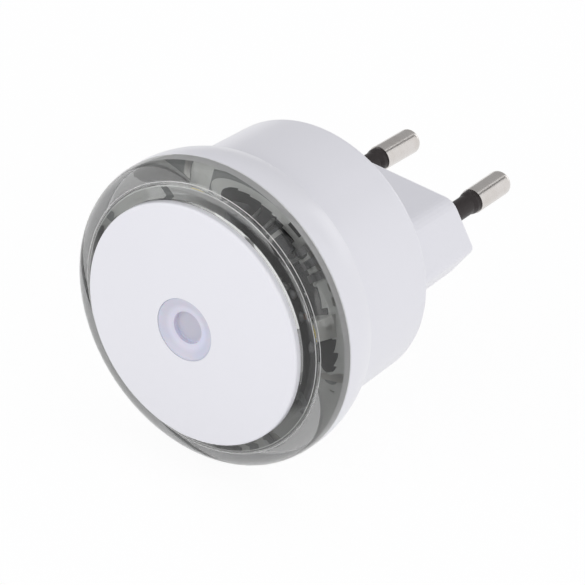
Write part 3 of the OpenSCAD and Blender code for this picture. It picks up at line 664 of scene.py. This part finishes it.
beadLooks = {
    "lensBead": {"slot": "lens_plastic", "radius": 0.0051, "depth": 0.04898, "thickness": 0.00013},
    "chamberGlintFront": {"slot": "clear_plastic", "radius": 0.0213, "depth": 0.04424,
                          "thickness": 0.0001},
    "chamberGlintSide": {"slot": "clear_plastic", "radius": 0.02172, "depth": 0.0438,
                         "thickness": 0.0001},
}
# pale white of the chamber beads: a painted highlight line at the chamber's corner
paintedGlint = {"colour": (0.88, 0.88, 0.88), "roughness": 0.45, "grainDepth": 0.000004}


def addBeads(looks, materials):
    for name, look in looks.items():
        bm = bmesh.new()
        middle = Vector((look["radius"], -look["depth"], 0))
        first = bm.verts.new(middle + Vector((look["thickness"] / 2, 0, 0)))
        bmesh.ops.spin(bm, geom=[first], cent=middle, axis=(0, 0, 1), angle=math.tau,
                       steps=meshing["beadSteps"], use_merge=True)
        mergeDoubles(bm)
        bmesh.ops.spin(bm, geom=bm.verts[:] + bm.edges[:], cent=(0, 0, 0), axis=(0, 1, 0),
                       angle=math.tau, steps=meshing["ringSteps"], use_merge=True)
        bead = meshObject(name, bm, materials[look["slot"]])


addBeads(beadLooks, {
    "lens_plastic": nodes["sensor_lens"].material_slots[0].material,
    "clear_plastic": mouldedMaterial("paintedGlint", paintedGlint),
})


# a grey band inside the ring's foot at the collar, and a thin white bead at its outer edge that
# shows through the glass as a bright line along the border, a painted highlight

seamLooks = {
    "seamBand": {"inner": 0.02306, "outer": 0.02490, "back": 0.04083, "front": 0.04091,
                 "colour": (0.50, 0.50, 0.505), "roughness": 0.4},
    # white bead: a painted highlight line along the ring's border
    "seamHighlight": {"inner": 0.02491, "outer": 0.02507, "back": 0.04083, "front": 0.04096,
                "colour": (0.90, 0.90, 0.91), "roughness": 0.3},
}


def seamBands(looks):
    for name, look in looks.items():
        bm = bmesh.new()
        outline = [Vector((radius, -depth, 0)) for radius, depth in (
            (look["inner"], look["back"]), (look["outer"], look["back"]),
            (look["outer"], look["front"]), (look["inner"], look["front"]))]
        closedSpin(bm, outline, (0, 0, 0), (0, 1, 0), meshing["ringSteps"])
        band = meshObject(name, bm, mouldedMaterial(name + "Plastic", look))


seamBands(seamLooks)
print("night light: diode bands, beads and seat made")


# tracks, dark strip and pads on the board's face

trackLook = {
    "colour": (0.22, 0.23, 0.23), "roughness": 0.35, "top": 0.03943, "foot": 0.03938,
    "arcs": [  # radius, width, first and last angle
        (0.0221, 0.0005, 20, 70), (0.0213, 0.0004, 62, 100), (0.0221, 0.0005, 110, 165),
        (0.0215, 0.0004, 190, 232), (0.0221, 0.0005, 246, 300), (0.0213, 0.0004, 305, 352),
        (0.0180, 0.0005, 28, 50), (0.0180, 0.0005, 118, 160), (0.0176, 0.0005, 300, 335),
    ],
}
inkLook = {
    "colour": (0.012, 0.012, 0.013), "roughness": 0.35, "top": 0.03942, "foot": 0.03938,
    "arcs": [  # radius, width, first and last angle
        (0.0211, 0.0004, -20, -9), (0.0208, 0.0006, -10, -3), (0.02045, 0.0011, -4, 3),
        (0.02025, 0.0010, 2, 9), (0.0201, 0.0008, 8, 15), (0.0199, 0.0007, 14, 23),
        (0.0196, 0.0006, 22, 33), (0.0194, 0.0006, 32, 43), (0.0192, 0.0006, 42, 55),
        (0.0197, 0.0007, 54, 63), (0.0198, 0.0009, 62, 70), (0.0199, 0.0010, 69, 76),
        (0.0201, 0.0008, 75, 82), (0.0203, 0.0006, 81, 88), (0.0205, 0.0004, 87, 94),
        (0.0208, 0.0004, 54, 61),
    ],
}


def boardTracks(name, look):
    bm = bmesh.new()
    for radius, width, first, last in look["arcs"]:
        corners = [onRing(radius + side * width / 2, first, height)
                   for side, height in ((-1, look["foot"]), (1, look["foot"]),
                                        (1, look["top"]), (-1, look["top"]))]
        steps = max(meshing["fewestSteps"], int((last - first) / meshing["degreesPerStep"]))
        bmesh.ops.spin(bm, geom=closedOutline(bm, corners), cent=(0, 0, 0), axis=(0, 1, 0),
                       angle=-math.radians(last - first), steps=steps)
    bmesh.ops.holes_fill(bm, edges=bm.edges[:], sides=4)
    tracks = meshObject(name, bm, mouldedMaterial(name + "Ink", look))


padLook = {
    "colour": (0.50, 0.49, 0.46), "top": 0.03946, "foot": 0.03938,
    "stretch": 1.4, "corner": 0.00018, "cornerSteps": 3,
    "spots": [  # radius, angle, size
        (0.0209, 46, 0.0008), (0.0209, 40, 0.0008), (0.0209, 131, 0.0008), (0.0209, 303, 0.0008),
        (0.0218, 74, 0.0010), (0.0218, 66, 0.0010), (0.0213, 25, 0.0010), (0.0213, 31, 0.0009),
        (0.0218, 352, 0.0010), (0.0212, 344, 0.0010), (0.0218, 112, 0.0009), (0.0212, 250, 0.0010),
    ],
}


def boardPads(look):
    bm = bmesh.new()
    thickness = look["top"] - look["foot"]
    for radius, angle, size in look["spots"]:
        middle = onRing(radius, angle, (look["top"] + look["foot"]) / 2)
        turn = Matrix.Rotation(-math.radians(angle), 4, "Y")
        shape = Matrix.Diagonal((size, thickness, size * look["stretch"], 1))
        bmesh.ops.create_cube(bm, size=1, matrix=Matrix.Translation(middle) @ turn @ shape)
    upright = [edge for edge in bm.edges
               if abs((edge.verts[0].co - edge.verts[1].co).y) > thickness / 2]
    bmesh.ops.bevel(bm, geom=upright, offset=look["corner"], segments=look["cornerSteps"],
                    profile=0.5, affect="EDGES", material=-1)
    pads = meshObject("boardPads", bm, metalMaterial("padTin", {
        **solderTin, "colour": look["colour"]}))


boardTracks("boardTracks", trackLook)
boardTracks("boardInk", inkLook)
boardPads(padLook)
print("night light: tracks, strip and pads made")


# supply wires: coloured insulation, bare copper at both ends

wireLooks = {
    "live_wire": {"colour": (0.18, 0.075, 0.03), "roughness": 0.4},
    "neutral_wire": {"colour": (0.04, 0.11, 0.42), "roughness": 0.4},
}
wireEnds = {"bareFront": -0.0372, "bareBack": -0.0098}
copper = (0.62, 0.32, 0.20)

for nodeName, look in wireLooks.items():
    dress(leadedMaterial(nodeName + "Insulation", {**look, **wireEnds}, copper), nodeName)
print("night light: wires finished")


# studio: white floor and surroundings, soft lamps, cards that only reflections or the ring see

studio = {
    "floorSize": 12, "floorDrop": 0.0002, "floorColour": (0.9, 0.9, 0.9), "floorRoughness": 0.9,
    # floorThroughRing is the floor's dimmer glow where it is seen through the ring: painted shade
    "floorShadow": 0.08, "floorLight": 1.02, "floorThroughRing": 0.34,
    "worldLight": 0.7, "worldColour": (0.97, 0.97, 1.0), "middle": (0, -0.02, 0),
    "lamps": [  # direction, distance, size, watts, seen in reflections
        ((-0.5, -1.0, 0.2), 1.6, 1.4, 8.5, True),
        ((1.0, -0.17, 0.12), 1.6, 1.2, 6.9, False),
        ((0.05, 1.0, 0.05), 1.5, 0.9, 1.3, True),
    ],
    "cards": [  # direction, distance, width, height, grey, seen in reflections
        ((-0.55, 0.69, 0.40), 0.8, 1.1, 1.1, 0.46, True),
        ((0.27, 0.69, 0.66), 0.6, 0.09, 0.5, 0.12, True),
        ((-0.90, 0.42, 0.16), 0.7, 0.9, 0.9, 0.20, False),
        ((0.90, -0.31, 0.22), 0.8, 0.26, 0.9, 0.08, True),
        ((0.45, -0.33, 0.80), 0.8, 0.30, 0.40, 0.08, True),
    ],
}


def whenSeen(tree, white, rest):  # white to the camera, mirrors and glass; the rest lights
    path = addNode(tree, "ShaderNodeLightPath").outputs
    mirrored = mathNode(tree, "MAXIMUM", path["Is Glossy Ray"], path["Is Transmission Ray"])
    seen = mathNode(tree, "MAXIMUM", path["Is Camera Ray"], mirrored)
    return addNode(tree, "ShaderNodeMixShader", {0: seen, 1: rest, 2: white}).outputs[0]


def setWorld(values):
    world = bpy.data.worlds.new("paleRoom")
    world.use_nodes = True
    tree = world.node_tree
    tree.nodes.clear()
    white = addNode(tree, "ShaderNodeBackground", {"Color": (1, 1, 1, 1), "Strength": 1.0})
    rest = addNode(tree, "ShaderNodeBackground", {
        "Color": (*values["worldColour"], 1), "Strength": values["worldLight"]})
    out = addNode(tree, "ShaderNodeOutputWorld")
    tree.links.new(whenSeen(tree, white.outputs[0], rest.outputs[0]), out.inputs["Surface"])
    scene.world = world


def facingPlane(name, middle, direction, width, height):
    bm = bmesh.new()
    bmesh.ops.create_grid(bm, x_segments=1, y_segments=1, size=0.5)
    turn = Vector(direction).to_track_quat("Z", "Y").to_matrix().to_4x4()
    bmesh.ops.transform(bm, verts=bm.verts[:], matrix=Matrix.Translation(middle) @ turn
                        @ Matrix.Diagonal((width, height, 1, 1)))
    mesh = bpy.data.meshes.new(name)
    bm.to_mesh(mesh)
    bm.free()
    plane = bpy.data.objects.new(name, mesh)
    scene.collection.objects.link(plane)
    return plane


def addFloor(values):
    lowest = cadBox[0][2] - values["floorDrop"]
    floor = facingPlane("paleFloor", (0, 0, lowest), (0, 0, 1),
                        values["floorSize"], values["floorSize"])
    material, tree, shader = newMaterial("paleFloor", Roughness=values["floorRoughness"])
    shader.inputs["Base Color"].default_value = (*values["floorColour"], 1)
    shader.inputs["Specular IOR Level"].default_value = 0.0
    # seen through the ring, the floor glows dimmer: painted shade
    path = addNode(tree, "ShaderNodeLightPath").outputs
    dimmer = mathNode(tree, "MULTIPLY", path["Is Transmission Ray"],
                      values["floorLight"] - values["floorThroughRing"])
    light = mathNode(tree, "SUBTRACT", values["floorLight"], dimmer)
    glow = addNode(tree, "ShaderNodeEmission", {"Color": (1, 1, 1, 1), "Strength": light})
    softened = addNode(tree, "ShaderNodeMixShader", {
        0: 1 - values["floorShadow"], 1: shader.outputs[0], 2: glow.outputs[0]})
    tree.links.new(whenSeen(tree, softened.outputs[0], shader.outputs[0]),
                   tree.nodes["Material Output"].inputs["Surface"])
    floor.data.materials.append(material)


def addLamps(values):
    middle = Vector(values["middle"])
    for index, (direction, distance, size, watts, mirrored) in enumerate(values["lamps"]):
        data = bpy.data.lights.new("softLamp%d" % index, "AREA")
        data.shape, data.size, data.energy = "DISK", size, watts
        lamp = bpy.data.objects.new("softLamp%d" % index, data)
        way = Vector(direction).normalized()
        lamp.location = middle + way * distance
        lamp.rotation_euler = way.to_track_quat("Z", "Y").to_euler()
        lamp.visible_camera = False
        lamp.visible_glossy = mirrored
        scene.collection.objects.link(lamp)


def addCards(values):
    middle = Vector(values["middle"])
    for index, (direction, distance, width, height, grey, mirrored) in enumerate(values["cards"]):
        way = Vector(direction).normalized()
        card = facingPlane("card%d" % index, middle + way * distance, -way, width, height)
        material, tree, _ = newMaterial("card%d" % index)
        tint = addNode(tree, "ShaderNodeEmission", {
            "Color": (grey, grey, grey, 1), "Strength": 1.0})
        tree.links.new(tint.outputs[0], tree.nodes["Material Output"].inputs["Surface"])
        card.data.materials.append(material)
        card.visible_camera = False
        card.visible_glossy = mirrored
        card.visible_diffuse = False
        card.visible_shadow = False


setWorld(studio)
addFloor(studio)
addLamps(studio)
addCards(studio)
scene.view_settings.view_transform = "Standard"
print("night light: studio ready")
